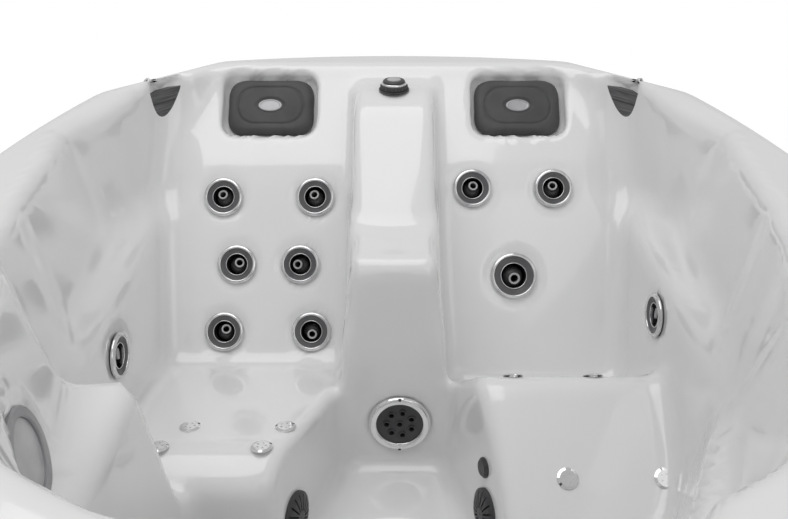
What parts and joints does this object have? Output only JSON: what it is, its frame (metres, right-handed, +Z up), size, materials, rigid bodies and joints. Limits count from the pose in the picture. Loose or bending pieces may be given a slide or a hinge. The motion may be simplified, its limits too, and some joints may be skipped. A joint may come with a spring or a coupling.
{
  "type": "hot tub",
  "caption": "Hot tub with a white acrylic shell, an upright seat, a lounger, headrest pillows, adjustable jets and a grey panelled cabinet.",
  "frame": {"origin": "middle of the footprint, on the floor", "axes": "+Z up, +Y towards the two seat backs, +X to the right of a view from the near end"},
  "size_m": [1.52, 1.8196, 0.8508],
  "materials": {
    "acrylic": "glossy",
    "cabinet": "satin",
    "abs_black": "matte",
    "frame_aluminium": "satin",
    "stainless": "polished",
    "chrome": "polished",
    "jet_plastic": "satin",
    "pillow_foam": "matte",
    "lens": "frosted",
    "pvc": "satin",
    "motor_paint": "satin",
    "filter_fabric": "matte",
    "keypad": "glossy",
    "buttons": "matte"
  },
  "bodies": {
    "tub": {"shell": "acrylic", "base_pan": "abs_black", "frame": "frame_aluminium", "front_panel": "cabinet", "rear_panel": "cabinet", "left_panel": "cabinet", "right_panel": "cabinet", "corner_panels": "cabinet", "panel_screws": "stainless", "jet_bodies": "jet_plastic", "air_jets": "chrome", "suction_covers": "jet_plastic", "wall_fittings": "jet_plastic", "light_lens": "lens", "light_bezel": "stainless", "left_pillow": "pillow_foam", "right_pillow": "pillow_foam", "pillow_inserts": "stainless", "diverter_body": "jet_plastic", "pump_housing": "abs_black", "pump_motor": "motor_paint", "heater": "stainless", "control_pack": "abs_black", "air_blower": "abs_black", "pipework": "pvc", "filter_housing": "abs_black", "keypad_panel": "keypad", "cabinet_fittings": "abs_black"},
    "upper_left_ring": {"upper_left_bezel": "stainless"},
    "upper_left_aim": {"upper_left_nozzle": "jet_plastic"},
    "upper_right_ring": {"upper_right_bezel": "stainless"},
    "upper_right_aim": {"upper_right_nozzle": "jet_plastic"},
    "middle_left_ring": {"middle_left_bezel": "stainless"},
    "middle_left_aim": {"middle_left_nozzle": "jet_plastic"},
    "middle_right_ring": {"middle_right_bezel": "stainless"},
    "middle_right_aim": {"middle_right_nozzle": "jet_plastic"},
    "lower_left_ring": {"lower_left_bezel": "stainless"},
    "lower_left_aim": {"lower_left_nozzle": "jet_plastic"},
    "lower_right_ring": {"lower_right_bezel": "stainless"},
    "lower_right_aim": {"lower_right_nozzle": "jet_plastic"},
    "lounger_left_ring": {"lounger_left_bezel": "stainless"},
    "lounger_left_aim": {"lounger_left_nozzle": "jet_plastic"},
    "lounger_right_ring": {"lounger_right_bezel": "stainless"},
    "lounger_right_aim": {"lounger_right_nozzle": "jet_plastic"},
    "lounger_large_ring": {"lounger_large_bezel": "stainless"},
    "lounger_large_aim": {"lounger_large_nozzle": "jet_plastic"},
    "hip_left_ring": {"hip_left_bezel": "stainless"},
    "hip_left_aim": {"hip_left_nozzle": "jet_plastic"},
    "hip_right_ring": {"hip_right_bezel": "stainless"},
    "hip_right_aim": {"hip_right_nozzle": "jet_plastic"},
    "foot_jet_ring": {"foot_jet_bezel": "chrome", "foot_jet_insert": "jet_plastic"},
    "diverter": {"diverter_knob": "chrome"},
    "impeller": {"pump_impeller": "jet_plastic"},
    "weir": {"weir_door": "abs_black"},
    "lid": {"filter_lid": "acrylic"},
    "cartridge": {"filter_cartridge": "filter_fabric"},
    "temperature_key": {"temperature_button": "buttons"},
    "jets_key": {"jets_button": "buttons"},
    "light_key": {"light_button": "buttons"}
  },
  "joints": [
    {"name": "upper_left_turn", "type": "hinge", "parent": "tub", "child": "upper_left_ring", "pos_m": [-0.417, 0.57369, 0.58976], "axis": [0, -0.829, 0.5592], "range_deg": [-90, 0]},
    {"name": "upper_left_tilt", "type": "hinge", "parent": "upper_left_ring", "child": "upper_left_aim", "pos_m": [-0.417, 0.59691, 0.57411], "axis": [-0.9272, -0.2095, -0.3106], "range_deg": [-28, 0]},
    {"name": "upper_right_turn", "type": "hinge", "parent": "tub", "child": "upper_right_ring", "pos_m": [-0.193, 0.57369, 0.58976], "axis": [0, -0.829, 0.5592], "range_deg": [-90, 0]},
    {"name": "upper_right_tilt", "type": "hinge", "parent": "upper_right_ring", "child": "upper_right_aim", "pos_m": [-0.193, 0.59691, 0.57411], "axis": [-0.9272, -0.2095, -0.3106], "range_deg": [-28, 0]},
    {"name": "middle_left_turn", "type": "hinge", "parent": "tub", "child": "middle_left_ring", "pos_m": [-0.382, 0.48129, 0.45276], "axis": [0, -0.829, 0.5592], "range_deg": [-90, 0]},
    {"name": "middle_left_tilt", "type": "hinge", "parent": "middle_left_ring", "child": "middle_left_aim", "pos_m": [-0.382, 0.5045, 0.43711], "axis": [-0.6157, 0.4406, 0.6533], "range_deg": [-28, 0]},
    {"name": "middle_right_turn", "type": "hinge", "parent": "tub", "child": "middle_right_ring", "pos_m": [-0.228, 0.48129, 0.45276], "axis": [0, -0.829, 0.5592], "range_deg": [-90, 0]},
    {"name": "middle_right_tilt", "type": "hinge", "parent": "middle_right_ring", "child": "middle_right_aim", "pos_m": [-0.228, 0.5045, 0.43711], "axis": [0, -0.5592, -0.829], "range_deg": [-28, 0]},
    {"name": "lower_left_turn", "type": "hinge", "parent": "tub", "child": "lower_left_ring", "pos_m": [-0.41, 0.39023, 0.31776], "axis": [0, -0.829, 0.5592], "range_deg": [-90, 0]},
    {"name": "lower_left_tilt", "type": "hinge", "parent": "lower_left_ring", "child": "lower_left_aim", "pos_m": [-0.41, 0.41344, 0.30211], "axis": [-0.866, 0.2796, 0.4145], "range_deg": [-28, 0]},
    {"name": "lower_right_turn", "type": "hinge", "parent": "tub", "child": "lower_right_ring", "pos_m": [-0.2, 0.39023, 0.31776], "axis": [0, -0.829, 0.5592], "range_deg": [-90, 0]},
    {"name": "lower_right_tilt", "type": "hinge", "parent": "lower_right_ring", "child": "lower_right_aim", "pos_m": [-0.2, 0.41344, 0.30211], "axis": [0.9659, 0.1447, 0.2146], "range_deg": [-28, 0]},
    {"name": "lounger_left_turn", "type": "hinge", "parent": "tub", "child": "lounger_left_ring", "pos_m": [0.192, 0.58583, 0.60776], "axis": [0, -0.829, 0.5592], "range_deg": [-90, 0]},
    {"name": "lounger_left_tilt", "type": "hinge", "parent": "lounger_left_ring", "child": "lounger_left_aim", "pos_m": [0.192, 0.60905, 0.59211], "axis": [-0.9455, 0.1821, 0.2699], "range_deg": [-28, 0]},
    {"name": "lounger_right_turn", "type": "hinge", "parent": "tub", "child": "lounger_right_ring", "pos_m": [0.39, 0.58583, 0.60776], "axis": [0, -0.829, 0.5592], "range_deg": [-90, 0]},
    {"name": "lounger_right_tilt", "type": "hinge", "parent": "lounger_right_ring", "child": "lounger_right_aim", "pos_m": [0.39, 0.60905, 0.59211], "axis": [-0.9925, -0.0681, -0.101], "range_deg": [-28, 0]},
    {"name": "lounger_large_turn", "type": "hinge", "parent": "tub", "child": "lounger_large_ring", "pos_m": [0.291, 0.46577, 0.42976], "axis": [0, -0.829, 0.5592], "range_deg": [-90, 0]},
    {"name": "lounger_large_tilt", "type": "hinge", "parent": "lounger_large_ring", "child": "lounger_large_aim", "pos_m": [0.291, 0.48899, 0.41411], "axis": [0.9511, 0.1728, 0.2562], "range_deg": [-28, 0]},
    {"name": "hip_left_turn", "type": "hinge", "parent": "tub", "child": "hip_left_ring", "pos_m": [-0.562, 0.12, 0.45], "axis": [1, 0, 0], "range_deg": [-90, 0]},
    {"name": "hip_left_tilt", "type": "hinge", "parent": "hip_left_ring", "child": "hip_left_aim", "pos_m": [-0.59, 0.12, 0.45], "axis": [0, 0, 1], "range_deg": [-28, 0]},
    {"name": "hip_right_turn", "type": "hinge", "parent": "tub", "child": "hip_right_ring", "pos_m": [0.562, 0.231, 0.474], "axis": [-1, 0, 0], "range_deg": [-90, 0]},
    {"name": "hip_right_tilt", "type": "hinge", "parent": "hip_right_ring", "child": "hip_right_aim", "pos_m": [0.59, 0.231, 0.474], "axis": [0, 0, -1], "range_deg": [-28, 0]},
    {"name": "foot_jet_turn", "type": "hinge", "parent": "tub", "child": "foot_jet_ring", "pos_m": [0.013, 0.20796, 0.19358], "axis": [0, -0.9945, 0.1045], "range_deg": [-90, 0]},
    {"name": "diverter_turn", "type": "hinge", "parent": "tub", "child": "diverter", "pos_m": [0, 0.723, 0.812], "axis": [0, 0, 1], "range_deg": [-90, 90]},
    {"name": "impeller_spin", "type": "hinge", "parent": "tub", "child": "impeller", "pos_m": [0.13, -0.765, 0.112], "axis": [1, 0, 0], "continuous": true},
    {"name": "weir_swing", "type": "hinge", "parent": "tub", "child": "weir", "pos_m": [0, -0.66519, 0.662], "axis": [1, 0, 0], "range_deg": [0, 25]},
    {"name": "lid_lift", "type": "slide", "parent": "tub", "child": "lid", "axis": [0, 0, 1], "range_m": [0, 0.35]},
    {"name": "cartridge_lift", "type": "slide", "parent": "tub", "child": "cartridge", "axis": [0, 0, 1], "range_m": [0, 0.05]},
    {"name": "temperature_press", "type": "slide", "parent": "tub", "child": "temperature_key", "axis": [0, 0, -1], "range_m": [0, 0.0015], "stiffness_N_per_m": 400},
    {"name": "jets_press", "type": "slide", "parent": "tub", "child": "jets_key", "axis": [0, 0, -1], "range_m": [0, 0.0015], "stiffness_N_per_m": 400},
    {"name": "light_press", "type": "slide", "parent": "tub", "child": "light_key", "axis": [0, 0, -1], "range_m": [0, 0.0015], "stiffness_N_per_m": 400}
  ]
}
